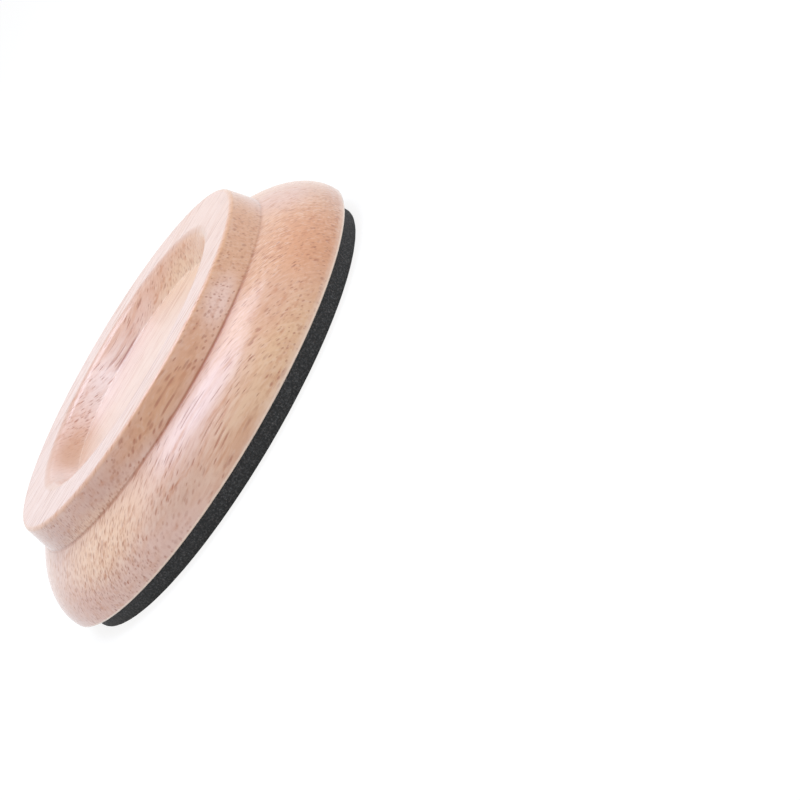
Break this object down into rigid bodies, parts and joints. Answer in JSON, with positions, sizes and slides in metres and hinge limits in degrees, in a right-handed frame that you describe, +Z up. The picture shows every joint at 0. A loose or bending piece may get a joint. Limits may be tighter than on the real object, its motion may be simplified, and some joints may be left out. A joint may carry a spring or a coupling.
{
  "type": "castor cup",
  "caption": "Round turned wooden castor cup with a full bead, a short collar and a shallow recess for a castor wheel or furniture leg, on a black foam pad that grips the floor.",
  "frame": {"origin": "middle of the foam pad's underside, where the cup stands on the floor", "axes": "+Z up along the turning axis, out of the recess; +X along the grain of the wood"},
  "size_m": [0.1, 0.1, 0.0229],
  "materials": {
    "varnished_wood": "pale pinkish-tan hardwood with fine reddish-brown pores, under a clear satin varnish",
    "black_foam": "matt charcoal-black closed-cell foam with a fine grain"
  },
  "bodies": {
    "root": {"turned_cup": "varnished_wood", "foam_pad": "black_foam"}
  },
  "joints": []
}
